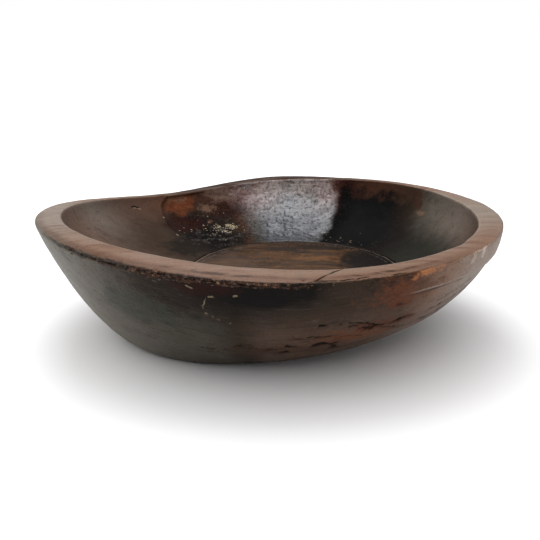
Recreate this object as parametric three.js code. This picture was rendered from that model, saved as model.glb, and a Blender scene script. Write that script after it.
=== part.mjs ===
// A shallow round bowl carved from one block of hardwood, with a thick bottom and a wavy rim.
// Millimetres, +Z up. It stands on its flat foot at z = 0, its front faces -Y,
// and the origin is the middle of its outline in plan, on the ground.
// Angles are in degrees round +Z, counted from +X.
import * as THREE from 'three';

const { cos, exp, PI } = Math;
const radians = THREE.MathUtils.degToRad;

// The rim: its inner edge, the worn face on top, and how far that face falls outwards.
const RIM_RADIUS = 175.7;
const RIM_OVAL = { rise: 0.9, turns: 2, peak: -10 };
const RIM_HEIGHT = 107.5;
const RIM_WAVES = [
  { rise: 6.2, turns: 1, peak: -88 },
  { rise: 6.7, turns: 2, peak: 30 },
  { rise: 1.9, turns: 3, peak: 60 },
  { rise: 0.8, turns: 4, peak: 66 },
];
const RIM_HUMP = { rise: 6.2, peak: 94.5, spread: 21 };
const RIM_WIDTH = 20.1;
const RIM_WIDTH_WAVE = { rise: 1.3, turns: 1, peak: 122 };
const RIM_FLARES = [
  { rise: 2.4, peak: 8, spread: 32 },
  { rise: 2, peak: 178, spread: 40 },
];
const RIM_FALL = 3.8;
const RIM_FALL_WAVES = [
  { rise: 1.7, turns: 1, peak: 114 },
  { rise: 2.9, turns: 2, peak: 81 },
];
const RIM_LIFT = { rise: 8, peak: 92, spread: 40 }; // the back of the face lies almost level
const RIM_CROWN = 0.6;
const RIM_EDGE = 0.16; // the share of the face that each worn edge takes

// The foot: a flat disc set to the left of the middle.
const FOOT = { x: -42, y: 0, radius: 80 };

// The outer wall leaves the foot almost level and stands up towards the rim. Each pull is how far,
// from foot to rim, one of its two bending points lies: in plan and in height.
const LOW_PULL = { mean: 0.436, waves: [{ rise: 0.265, turns: 1, peak: 39 }, { rise: 0.11, turns: 2, peak: 0 }] };
const LOW_LIFT = { mean: 0.039, waves: [{ rise: 0.014, turns: 1, peak: 0 }] };
const HIGH_PULL = { mean: 0.84, waves: [{ rise: 0.097, turns: 1, peak: 0 }] };
const HIGH_LIFT = { mean: 0.561, waves: [{ rise: 0.043, turns: 1, peak: -26 }] };

// A planed facet below the rim at the front right, ending in a low arris.
const COLLAR = { proud: 1.6, peak: -20, spread: 34, edge: 0.852, foot: 0.82 };

// The hollow: a flat floor set to the right of the middle, with a shallow groove round it.
const FLOOR = { x: 22.5, y: 0, z: 57, radius: 96 };
const GROOVE = { width: 3.2, depth: 1.4, step: 0.6 };
const HOLLOW_TOP = { pull: 0.08, drop: 0.5 };
const HOLLOW_LOW = { pull: 0.55, drop: 0.93 };

// How finely the form is divided.
const SECTIONS = 72;
const WALL_STEPS = 9;
const EDGE_STEPS = 3;
const HOLLOW_STEPS = 7;

// The height of a wave at an angle: `turns` crests in one round, one of them at `peak`.
function wave({ rise, turns, peak }, angle) {
  return rise * cos(turns * (angle - radians(peak)));
}

function swell(mean, waves, angle) {
  return waves.reduce((sum, item) => sum + wave(item, angle), mean);
}

// A bell-shaped bump round one direction.
function bump({ peak, spread }, angle) {
  const away = THREE.MathUtils.euclideanModulo(angle - radians(peak) + PI, 2 * PI) - PI;
  return exp(-((away / radians(spread)) ** 2));
}

// A point at a radius and height, in a direction from a centre in plan.
function around(angle, radius, z, centre = { x: 0, y: 0 }) {
  const point = new THREE.Vector3(radius, 0, 0).applyAxisAngle(THREE.Object3D.DEFAULT_UP, angle);
  return point.add(new THREE.Vector3(centre.x, centre.y, z));
}

// A point part way from one to another, with its own share in plan and in height.
function between(from, to, plan, height) {
  const point = from.clone().lerp(to, plan);
  point.z = THREE.MathUtils.lerp(from.z, to.z, height);
  return point;
}

function innerEdge(angle) {
  const radius = RIM_RADIUS + wave(RIM_OVAL, angle);
  const height = swell(RIM_HEIGHT, RIM_WAVES, angle) + RIM_HUMP.rise * bump(RIM_HUMP, angle);
  return around(angle, radius, height);
}

function outerEdge(angle) {
  const inner = innerEdge(angle);
  const flare = RIM_FLARES.reduce((sum, item) => sum + item.rise * bump(item, angle), 0);
  const radius = inner.clone().setZ(0).length() + RIM_WIDTH + wave(RIM_WIDTH_WAVE, angle) + flare;
  const fall = swell(RIM_FALL, RIM_FALL_WAVES, angle) - RIM_LIFT.rise * bump(RIM_LIFT, angle);
  return around(angle, radius, inner.z - fall);
}

function outerWall(angle) {
  const foot = around(angle, FOOT.radius, 0, FOOT);
  const edge = outerEdge(angle);
  const [lowPull, lowLift, highPull, highLift] = [LOW_PULL, LOW_LIFT, HIGH_PULL, HIGH_LIFT]
    .map(({ mean, waves }) => swell(mean, waves, angle));
  const low = between(foot, edge, lowPull, lowLift);
  const high = between(foot, edge, highPull, highLift);
  return new THREE.CubicBezierCurve3(foot, low, high, edge);
}

// The wall from the foot up, with the collar's facet standing a little proud of it.
function wallPoints(angle) {
  const wall = outerWall(angle);
  const shares = [];
  for (let step = 0; step < WALL_STEPS; step += 1) {
    shares.push(COLLAR.foot * (step / (WALL_STEPS - 1)));
  }
  const points = shares.map((share) => wall.getPoint(share));
  const arris = wall.getPoint(COLLAR.edge);
  arris.add(around(angle, COLLAR.proud * bump(COLLAR, angle), 0));
  points.push(arris, wall.getPoint((1 + COLLAR.edge) / 2));
  return points;
}

// A rounded edge: it leaves one point, bends towards the corner and arrives at another.
function wornEdge(from, corner, to) {
  return new THREE.QuadraticBezierCurve3(from, corner, to).getPoints(EDGE_STEPS);
}

function hollowPoints(angle, top) {
  const floorEdge = around(angle, FLOOR.radius, FLOOR.z, FLOOR);
  const high = between(top, floorEdge, HOLLOW_TOP.pull, HOLLOW_TOP.drop);
  const low = between(top, floorEdge, HOLLOW_LOW.pull, HOLLOW_LOW.drop);
  return new THREE.CubicBezierCurve3(top, high, low, floorEdge).getPoints(HOLLOW_STEPS);
}

// The groove round the floor, and the floor's own edge a step lower than the wall's foot.
function groovePoints(angle) {
  const bottom = around(angle, FLOOR.radius - GROOVE.width / 2, FLOOR.z - GROOVE.depth, FLOOR);
  const floor = around(angle, FLOOR.radius - GROOVE.width, FLOOR.z - GROOVE.step, FLOOR);
  return [bottom, floor];
}

// One section, from the edge of the foot, up the wall, over the rim and down to the floor.
function section(angle) {
  const inner = innerEdge(angle);
  const outer = outerEdge(angle);
  const crown = between(outer, inner, 0.5, 0.5).add(new THREE.Vector3(0, 0, RIM_CROWN));
  const wall = wallPoints(angle);
  const hollow = hollowPoints(angle, inner);
  const outerStart = wall.at(-1).clone().lerp(outer, 0.7);
  const outerEnd = outer.clone().lerp(crown, 2 * RIM_EDGE);
  const innerStart = inner.clone().lerp(crown, 2 * RIM_EDGE);
  const innerEnd = inner.clone().lerp(hollow[1], 0.3);
  return [
    ...wall,
    ...wornEdge(outerStart, outer, outerEnd),
    crown,
    ...wornEdge(innerStart, inner, innerEnd),
    ...hollow.slice(1),
    ...groovePoints(angle),
  ];
}

// Neighbouring sections are joined by faces, and two middle points close the foot and the floor.
function carvedGeometry() {
  const sections = Array.from({ length: SECTIONS }, (_, index) => section((2 * PI * index) / SECTIONS));
  const count = sections[0].length;
  const footMiddle = new THREE.Vector3(FOOT.x, FOOT.y, 0);
  const floorMiddle = new THREE.Vector3(FLOOR.x, FLOOR.y, FLOOR.z - GROOVE.step);
  const points = [...sections.flat(), footMiddle, floorMiddle];
  const faces = [];
  for (let index = 0; index < SECTIONS; index += 1) {
    const here = index * count;
    const next = ((index + 1) % SECTIONS) * count;
    faces.push(points.length - 2, next, here);
    for (let row = 0; row < count - 1; row += 1) {
      faces.push(here + row, next + row, next + row + 1);
      faces.push(here + row, next + row + 1, here + row + 1);
    }
    faces.push(points.length - 1, here + count - 1, next + count - 1);
  }
  const geometry = new THREE.BufferGeometry().setFromPoints(points);
  geometry.setIndex(faces);
  return geometry;
}

// The outline in plan is centred on the origin; the foot stays on the ground.
function centreInPlan(geometry) {
  geometry.computeBoundingBox();
  const middle = geometry.boundingBox.getCenter(new THREE.Vector3());
  return geometry.translate(-middle.x, -middle.y, 0);
}

function bowlBody() {
  THREE.Object3D.DEFAULT_UP.set(0, 0, 1);
  const geometry = centreInPlan(carvedGeometry());
  geometry.computeVertexNormals();
  const wood = new THREE.MeshStandardMaterial({ color: 0x5b4a3e, roughness: 0.5, metalness: 0 });
  const mesh = new THREE.Mesh(geometry, wood);
  mesh.name = 'bowl_body';
  return mesh;
}

const bowl = new THREE.Group();
bowl.add(bowlBody());

export default bowl;
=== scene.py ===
"""A hand-carved wooden bowl with its worn rim, patinas, cracks and old residue, in a plain studio.

The bowl is one block of wood. Its form is worked out section by section round the middle, the
cracks and chips are carved into a fine mesh, Geometry Nodes dent it as the adze did, and small
crusts and crumbs are scattered on it. Lengths are in metres; bearings are in degrees round +Z,
counted from +X, and the front of the bowl faces -Y.
"""

import logging
import math
from collections.abc import Sequence
from dataclasses import dataclass
from enum import Enum
from typing import Any, Union

import bmesh
import bpy
import numpy as np
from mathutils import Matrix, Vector


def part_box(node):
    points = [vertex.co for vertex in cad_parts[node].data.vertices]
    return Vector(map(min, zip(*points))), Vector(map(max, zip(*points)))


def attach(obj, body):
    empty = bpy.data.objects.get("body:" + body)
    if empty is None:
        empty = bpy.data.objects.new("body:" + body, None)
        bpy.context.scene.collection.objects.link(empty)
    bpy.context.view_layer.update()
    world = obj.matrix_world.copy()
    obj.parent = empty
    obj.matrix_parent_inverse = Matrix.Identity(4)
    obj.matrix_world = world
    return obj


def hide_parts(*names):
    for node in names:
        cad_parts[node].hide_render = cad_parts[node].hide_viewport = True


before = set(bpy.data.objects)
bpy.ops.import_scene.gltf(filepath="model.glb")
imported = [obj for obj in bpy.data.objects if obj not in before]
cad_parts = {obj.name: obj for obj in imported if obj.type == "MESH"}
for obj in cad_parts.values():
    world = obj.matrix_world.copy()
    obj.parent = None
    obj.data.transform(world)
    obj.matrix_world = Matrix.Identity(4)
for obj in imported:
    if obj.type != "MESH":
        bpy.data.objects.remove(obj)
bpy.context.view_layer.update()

LOG = logging.getLogger("bowl")
NODE = "bowl_body"
BODY = "root"
MM = 0.001

Colour = tuple[float, float, float, float]
Place = tuple[float, float, float]
Array = np.ndarray


# ---------------------------------------------------------------- small maths


def smooth_step(value: Array, low: float, high: float) -> Array:
    """A soft ramp from 0 at `low` to 1 at `high`.

    Args:
        value: The numbers to grade.
        low: Where the ramp starts.
        high: Where the ramp ends; it may lie below `low`.

    Returns:
        The graded numbers, from 0 to 1.
    """
    share = np.clip((value - low) / (high - low), 0.0, 1.0)
    return share * share * (3.0 - 2.0 * share)


def plateau(value: Array, start: float, full: float, fade: float, end: float) -> Array:
    """A soft band: it grows from `start` to `full`, and is gone again from `fade` to `end`."""
    return smooth_step(value, start, full) * (1.0 - smooth_step(value, fade, end))


def bell(distance: Array, width: float) -> Array:
    """A soft hump: 1 at no distance, and almost nothing past two widths."""
    return np.exp(-((distance / width) ** 2))


def bearing_of(points: Array) -> Array:
    """The bearing of each point from the middle, in radians."""
    return np.arctan2(points[..., 1], points[..., 0])


def ring(bearing: Array, radius: Any, height: Any, middle: Sequence[float] = (0.0, 0.0)) -> Array:
    """Points at a radius and height round a middle.

    Args:
        bearing: The bearings, in radians.
        radius: One radius, or one for each bearing.
        height: One height, or one for each bearing.
        middle: The middle in plan.

    Returns:
        The points, one row for each bearing.
    """
    flat = np.zeros_like(bearing)
    across = middle[0] + radius * np.cos(bearing)
    along = middle[1] + radius * np.sin(bearing)
    return np.stack([across + flat, along + flat, height + flat], -1)


def part_way(start: Array, end: Array, plan: Any, height: Any) -> Array:
    """Points part way between two rings, with one share in plan and another in height.

    Args:
        start: The first ring.
        end: The second ring.
        plan: The share of the way in plan.
        height: The share of the way in height.

    Returns:
        The points between them.
    """
    plan = np.broadcast_to(plan, start.shape[:-1])
    height = np.broadcast_to(height, start.shape[:-1])
    share = np.stack([plan, plan, height], -1)
    return start + (end - start) * share


def bend(corners: Sequence[Array], shares: Array) -> Array:
    """Rings along the Bezier curve that two, three or four rings of corners give.

    Args:
        corners: The rings of control points.
        shares: The shares of the way along the curve.

    Returns:
        One ring for each share.
    """
    share = shares[:, None, None]
    level = [corner[None] + 0.0 * share for corner in corners]
    while len(level) > 1:
        level = [first + (second - first) * share for first, second in zip(level, level[1:])]
    return level[0]


@dataclass(frozen=True)
class Lattice:
    """Smooth random values in space, the same on every run."""

    seed: int

    def _corner(self, cell: Array) -> Array:
        """The value at whole-numbered lattice corners, from -1 to 1."""
        mask = np.uint64(0xFFFFFFFF)
        primes = np.array([374761393, 668265263, 2246822519], dtype=np.uint64)
        mixed = (cell.astype(np.int64).astype(np.uint64) * primes).sum(-1) + np.uint64(self.seed * 977)
        mixed = ((mixed & mask) ^ ((mixed & mask) >> np.uint64(13))) * np.uint64(1274126177) & mask
        mixed = mixed ^ (mixed >> np.uint64(16))
        return (mixed & np.uint64(0xFFFF)).astype(float) / 32767.5 - 1.0

    def at(self, points: Array, size: float, octaves: int = 1) -> Array:
        """Values at points, from about -1 to 1.

        Args:
            points: The places.
            size: The size of the largest lumps.
            octaves: How many finer layers are added, each half the size and strength.

        Returns:
            One value for each point.
        """
        total = np.zeros(points.shape[:-1])
        for octave in range(octaves):
            place = points * (2.0**octave / size) + 17.3 * octave
            cell = np.floor(place)
            share = place - cell
            share = share * share * (3.0 - 2.0 * share)
            for corner in np.ndindex(2, 2, 2):
                weight = np.prod(np.where(corner, share, 1.0 - share), -1)
                total += weight * self._corner(cell + np.array(corner)) * 0.5**octave
        return total


# ---------------------------------------------------------------- the bowl's form


@dataclass(frozen=True)
class Wave:
    """A wave round the bowl: `turns` crests in one round, one of them at the bearing `peak`."""

    rise: float
    turns: int
    peak: float

    def at(self, bearing: Array) -> Array:
        """The wave's height at bearings in radians."""
        return self.rise * np.cos(self.turns * (bearing - math.radians(self.peak)))


@dataclass(frozen=True)
class Swell:
    """A size that goes up and down round the bowl."""

    mean: float
    waves: tuple[Wave, ...]

    def at(self, bearing: Array) -> Array:
        """The size at bearings in radians."""
        return self.mean + sum(wave.at(bearing) for wave in self.waves)


@dataclass(frozen=True)
class Bump:
    """A bell-shaped rise round one bearing."""

    rise: float
    peak: float
    spread: float

    def at(self, bearing: Array) -> Array:
        """The rise at bearings in radians."""
        away = (bearing - math.radians(self.peak) + math.pi) % math.tau - math.pi
        return self.rise * bell(away, math.radians(self.spread))


@dataclass(frozen=True)
class Disc:
    """A flat round of the bowl, the foot or the floor."""

    middle: tuple[float, float]
    radius: float
    height: float


@dataclass(frozen=True)
class Collar:
    """The planed facet below the rim. `foot` and `edge` are shares of the way up the wall."""

    stand: Bump = Bump(0.0021, -20.0, 34.0)
    foot: float = 0.838
    edge: float = 0.852

    def at(self, bearing: Array, shares: Array) -> Array:
        """How far the facet stands out.

        Args:
            bearing: The bearings, in radians.
            shares: The shares of the way up the wall.

        Returns:
            One distance for each share and bearing.
        """
        rise = smooth_step(shares, self.foot, self.edge)
        fall = 1.0 - np.clip((shares - self.edge) / (1.0 - self.edge), 0.0, 1.0)
        return (rise * fall)[:, None] * self.stand.at(bearing)[None]


class Surface(Enum):
    """The parts of the bowl's skin that a mark can lie on."""

    WALL = "outer wall"
    RIM = "rim"
    SLOPE = "inner slope"


@dataclass(frozen=True)
class BowlForm:
    """The bowl's driving sizes and the surfaces that follow from them."""

    rim_radius: Swell = Swell(0.1757, (Wave(0.0009, 2, -10),))
    rim_height: Swell = Swell(
        0.1075,
        (Wave(0.0062, 1, -88), Wave(0.0067, 2, 30), Wave(0.0019, 3, 60), Wave(0.0008, 4, 66)),
    )
    rim_hump: Bump = Bump(0.0062, 94.5, 21.0)
    rim_nick: Bump = Bump(0.0016, -37.0, 4.0)
    rim_width: Swell = Swell(0.0201, (Wave(0.0013, 1, 122),))
    rim_flares: tuple[Bump, ...] = (Bump(0.0024, 8.0, 32.0), Bump(0.002, 178.0, 40.0))
    rim_fall: Swell = Swell(0.0038, (Wave(0.0017, 1, 114), Wave(0.0029, 2, 81)))
    rim_lift: Bump = Bump(0.008, 90.0, 37.0)
    rim_crown: float = 0.0006
    outer_round: Swell = Swell(0.17, (Wave(0.05, 1, -160),))
    inner_round: float = 0.14
    foot: Disc = Disc((-0.042, 0.0), 0.080, 0.0)
    low_pull: Swell = Swell(0.436, (Wave(0.265, 1, 39), Wave(0.11, 2, 0)))
    low_lift: Swell = Swell(0.039, (Wave(0.014, 1, 0),))
    high_pull: Swell = Swell(0.84, (Wave(0.097, 1, 0),))
    high_lift: Swell = Swell(0.561, (Wave(0.043, 1, -26),))
    collar: Collar = Collar()
    floor: Disc = Disc((0.0225, 0.0), 0.096, 0.057)
    slope_high: tuple[float, float] = (0.08, 0.5)
    slope_low: tuple[float, float] = (0.55, 0.93)
    groove_width: float = 0.0032
    groove_depth: float = 0.0014
    floor_step: float = 0.0006

    def inner_edge(self, bearing: Array) -> Array:
        """The rim's inner edge at bearings in radians."""
        radius = self.rim_radius.at(bearing) + self.rim_nick.at(bearing)
        return ring(bearing, radius, self.rim_height.at(bearing) + self.rim_hump.at(bearing))

    def outer_edge(self, bearing: Array) -> Array:
        """The rim's outer edge at bearings in radians."""
        radius = self.rim_radius.at(bearing) + self.rim_width.at(bearing)
        radius = radius + sum(flare.at(bearing) for flare in self.rim_flares)
        height = self.rim_height.at(bearing) + self.rim_hump.at(bearing)
        height = height - self.rim_fall.at(bearing) + self.rim_lift.at(bearing)
        return ring(bearing, radius, height)

    def wall(self, bearing: Array, shares: Array) -> Array:
        """The outer wall, from the foot at share 0 to the rim's outer edge at share 1.

        Args:
            bearing: The bearings, in radians.
            shares: The shares of the way up.

        Returns:
            One ring of points for each share.
        """
        start = ring(bearing, self.foot.radius, 0.0, self.foot.middle)
        end = self.outer_edge(bearing)
        low = part_way(start, end, self.low_pull.at(bearing), self.low_lift.at(bearing))
        high = part_way(start, end, self.high_pull.at(bearing), self.high_lift.at(bearing))
        rings = bend((start, low, high, end), shares)
        rings[..., :2] += self.collar.at(bearing, shares)[..., None] * ring(bearing, 1.0, 0.0)[None, :, :2]
        return rings

    def slope(self, bearing: Array, shares: Array) -> Array:
        """The inner slope, from the rim's inner edge at share 0 to the floor at share 1.

        Args:
            bearing: The bearings, in radians.
            shares: The shares of the way down.

        Returns:
            One ring of points for each share.
        """
        start = self.inner_edge(bearing)
        end = ring(bearing, self.floor.radius, self.floor.height, self.floor.middle)
        high = part_way(start, end, *self.slope_high)
        low = part_way(start, end, *self.slope_low)
        return bend((start, high, low, end), shares)

    def rim(self, bearing: Array, shares: Array) -> Array:
        """The crowned rim face, from its outer edge at share 0 to its inner edge at share 1."""
        rings = bend((self.outer_edge(bearing), self.inner_edge(bearing)), shares)
        rings[..., 2] += self.rim_crown * (4.0 * shares * (1.0 - shares))[:, None]
        return rings

    def rounded(self, start: Array, corner: Array, end: Array, count: int) -> Array:
        """A worn edge that leaves one ring, bends towards a corner and arrives at another.

        Args:
            start: The ring that the edge leaves.
            corner: The ring of sharp corners.
            end: The ring that the edge arrives at.
            count: How many rings it takes.

        Returns:
            The rings, both ends among them.
        """
        return bend((start, corner, end), np.linspace(0.0, 1.0, count))

    def floor_rings(self, bearing: Array, count: int) -> Array:
        """The groove round the floor and the floor itself, from its edge inwards."""
        groove = np.linspace(0.0, 1.3 * self.groove_width, 10)[1:]
        inner = np.linspace(1.3 * self.groove_width, self.floor.radius - 0.002, count)[1:]
        inwards = np.concatenate([groove, inner])
        dip = self.groove_depth * bell(inwards / self.groove_width - 0.5, 0.24)
        step = self.floor_step * smooth_step(inwards, 0.4 * self.groove_width, self.groove_width)
        ridge = 0.25 * self.groove_depth * bell(inwards / self.groove_width - 1.4, 0.35)
        heights = self.floor.height - dip - step + ridge
        radii = self.floor.radius - inwards
        return np.stack([ring(bearing, r, h, self.floor.middle) for r, h in zip(radii, heights)])

    def spot(self, surface: Surface, bearing: float, level: float) -> Array:
        """One point on the skin.

        Args:
            surface: The part of the skin.
            bearing: The bearing, in degrees.
            level: The height on a wall or slope, or the share of the way across the rim.

        Returns:
            The point.
        """
        angle = np.array([math.radians(bearing)])
        shares = np.linspace(0.0, 1.0, 200)
        if surface is Surface.RIM:
            return self.rim(angle, np.array([level]))[0, 0]
        if surface is Surface.WALL:
            line = self.wall(angle, shares)[:, 0]
        else:
            line = self.slope(angle, shares)[::-1, 0]
        return np.array([np.interp(level, line[:, 2], line[:, axis]) for axis in range(3)])

    def plan_shift(self) -> Array:
        """How far the form moves in plan so that its outline is centred as the CAD node's is."""
        low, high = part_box(NODE)
        outline = self.outer_edge(np.linspace(-math.pi, math.pi, 721))
        middle = (outline.min(0) + outline.max(0)) / 2.0
        shift = np.array((low + high) / 2.0) - middle
        return np.array([shift[0], shift[1], 0.0])


# ---------------------------------------------------------------- marks in the wood


class Tone(Enum):
    """What a mark shows: dirt that has gathered in it, together with painted shade in the floor's groove and under
    the scoop's edge, or fresh pale wood.
    """

    DIRT_AND_SHADE = "dirt"
    PALE = "pale"


@dataclass(frozen=True)
class Cut:
    """A crack, gouge or scratch along a path of (bearing, level) on one part of the skin."""

    surface: Surface
    path: tuple[tuple[float, float], ...]
    width: float
    depth: float
    tone: Tone = Tone.DIRT_AND_SHADE
    show: float = 0.9
    wander: float = 0.0008

    def line(self, form: BowlForm) -> Array:
        """The path's points in space."""
        return np.array([form.spot(self.surface, *stop) for stop in self.path]) + form.plan_shift()

    def distance(self, points: Array, form: BowlForm) -> Array:
        """How far points lie from the path, far points only roughly.

        Args:
            points: The places.
            form: The bowl.

        Returns:
            One distance for each point.
        """
        line = self.line(form)
        away = np.full(len(points), 1.0)
        margin = 0.012
        close = np.all((points > line.min(0) - margin) & (points < line.max(0) + margin), axis=1)
        near = points[close]
        shake = Lattice(5)
        near = near + self.wander * np.stack([shake.at(near + k, 0.006, 2) for k in (0.0, 0.3, 0.7)], -1)
        best = np.full(len(near), 1.0)
        for start, end in zip(line, line[1:]):
            span = end - start
            share = np.clip(((near - start) @ span) / max(float(span @ span), 1e-12), 0.0, 1.0)
            best = np.minimum(best, np.linalg.norm(near - start - share[:, None] * span, axis=1))
        away[close] = best
        return away


@dataclass(frozen=True)
class Scoop:
    """A shallow scoop in the inner slope with one sharp, curved edge on its left."""

    edge: tuple[tuple[float, float], ...] = (
        (0.060, 138.5), (0.066, 136.2), (0.076, 133.6), (0.086, 131.4), (0.100, 124.5),
    )
    depth: float = 0.0028
    lip: float = 0.0004
    reach: tuple[float, float] = (0.018, 0.055)

    def past_edge(self, points: Array) -> Array:
        """How far each point lies to the right of the edge, along the slope."""
        heights, bearings = np.array(self.edge).T
        edge = np.radians(np.interp(points[:, 2], heights, bearings))
        turn = (edge - bearing_of(points) + math.pi) % math.tau - math.pi
        return turn * np.linalg.norm(points[:, :2], axis=1)

    def at(self, points: Array) -> Array:
        """How deep the scoop is at points, negative along its raised lip."""
        past = self.past_edge(points)
        window = plateau(points[:, 2], 0.059, 0.064, 0.1, 0.108)
        floor = plateau(past, -0.0004, 0.0022, *self.reach)
        lip = bell(past + 0.0012, 0.0012)
        return (self.depth * floor - self.lip * lip) * window

    def worn_edge(self, points: Array) -> Array:
        """How far the edge's lip is rubbed pale at points, from 0 to 1."""
        line = bell(self.past_edge(points) + 0.0012, 0.0011)
        line *= plateau(points[:, 2], 0.060, 0.066, 0.086, 0.092)
        return line * smooth_step(Lattice(61).at(points, 0.005, 2), -0.15, 0.35)

    def ledge_shadow(self, points: Array) -> Array:
        """How dark the painted shadow at the foot of the edge is at points, from 0 to 1."""
        return bell(self.past_edge(points) - 0.0016, 0.0014)


def bottom_checks() -> tuple[Cut, ...]:
    """Short broken drying checks along the grain, low on the front wall."""
    random = np.random.default_rng(11)
    checks = []
    for bearing in np.linspace(-101.0, -62.0, 15):
        start = bearing + random.uniform(-1.5, 1.5)
        level = 0.026 + 0.016 * random.random() + 0.0004 * (bearing + 100.0)
        length = random.uniform(2.0, 5.5)
        middle = (start + 0.5 * length, level + random.uniform(-0.001, 0.001))
        path = ((start, level), middle, (start + length, level + random.uniform(-0.002, 0.001)))
        checks.append(Cut(Surface.WALL, path, random.uniform(0.0006, 0.0013), 0.0009, Tone.DIRT_AND_SHADE, 0.66))
    return tuple(checks)


CUTS: tuple[Cut, ...] = (
    Cut(
        Surface.RIM, ((-82.6, 0.02), (-79.4, 0.36), (-76.2, 0.7), (-73.2, 1.0)),
        0.0005, 0.0008, Tone.DIRT_AND_SHADE, 0.75, 0.0004,
    ),
    Cut(
        Surface.WALL,
        ((-74.0, 0.0615), (-70.0, 0.063), (-65.0, 0.0625), (-59.0, 0.0575), (-53.5, 0.0505),
         (-46.0, 0.0455), (-40.0, 0.0465), (-33.0, 0.051), (-26.0, 0.058)),
        0.0009, 0.0024, Tone.DIRT_AND_SHADE, 1.0, 0.0011,
    ),
    Cut(Surface.WALL, ((-66.0, 0.059), (-60.0, 0.0545), (-56.0, 0.0525)), 0.0007, 0.0012),
    Cut(Surface.WALL, ((-78.0, 0.047), (-73.0, 0.0492), (-68.0, 0.0485)), 0.0009, 0.0012),
    Cut(Surface.WALL, ((-52.6, 0.0535), (-50.0, 0.0562), (-47.0, 0.0578)), 0.0020, 0.0022),
    Cut(Surface.WALL, ((-45.0, 0.066), (-38.0, 0.0725), (-31.0, 0.078)), 0.0006, 0.0008),
    Cut(Surface.WALL, ((-42.0, 0.058), (-34.0, 0.064), (-27.0, 0.071)), 0.0007, 0.0009),
    Cut(Surface.RIM, ((-84.0, 0.2), (-76.0, 0.13), (-68.0, 0.16), (-61.0, 0.1)), 0.0005, 0.0005),
    Cut(Surface.WALL, ((-102.5, 0.0915), (-103.0, 0.083), (-101.5, 0.0755), (-98.5, 0.0705), (-95.0, 0.066)),
        0.0005, 0.0002, Tone.PALE, 0.55),
    Cut(Surface.WALL, ((-101.9, 0.0922), (-101.0, 0.0925)), 0.0011, 0.0003, Tone.PALE, 0.6),
    Cut(Surface.WALL, ((-96.6, 0.0940), (-96.1, 0.0942)), 0.0012, 0.0003, Tone.PALE, 0.6),
    Cut(Surface.WALL, ((-123.6, 0.0408), (-121.0, 0.0398)), 0.0006, 0.0002, Tone.PALE, 0.55),
    Cut(Surface.WALL, ((-106.5, 0.1000), (-105.4, 0.0990)), 0.0010, 0.0003, Tone.PALE, 0.6),
    Cut(Surface.SLOPE, ((143.8, 0.0905), (141.4, 0.0884)), 0.0008, 0.0007),
    Cut(Surface.SLOPE, ((143.3, 0.0893), (140.9, 0.0872)), 0.0006, 0.0002, Tone.PALE, 0.6),
) + bottom_checks()


# ---------------------------------------------------------------- node trees


Value = Union["Signal", float, int, Sequence[float]]


class Signal:
    """An output socket that can be used in arithmetic."""

    def __init__(self, maker: "NodeMaker", socket: bpy.types.NodeSocket) -> None:
        """Wraps a socket of the maker's tree."""
        self.maker = maker
        self.socket = socket

    def __add__(self, other: Value) -> "Signal":
        """This plus another."""
        return self.maker.math("ADD", self, other)

    def __sub__(self, other: Value) -> "Signal":
        """This less another."""
        return self.maker.math("SUBTRACT", self, other)

    def __rsub__(self, other: Value) -> "Signal":
        """Another less this."""
        return self.maker.math("SUBTRACT", other, self)

    def __mul__(self, other: Value) -> "Signal":
        """This times another."""
        return self.maker.math("MULTIPLY", self, other)

    def __truediv__(self, other: Value) -> "Signal":
        """This over another."""
        return self.maker.math("DIVIDE", self, other)

    def __rtruediv__(self, other: Value) -> "Signal":
        """Another over this."""
        return self.maker.math("DIVIDE", other, self)

    __radd__ = __add__
    __rmul__ = __mul__

    def clamped(self) -> "Signal":
        """This, kept from 0 to 1."""
        return self.maker.math("MINIMUM", self.maker.math("MAXIMUM", self, 0.0), 1.0)


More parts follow.
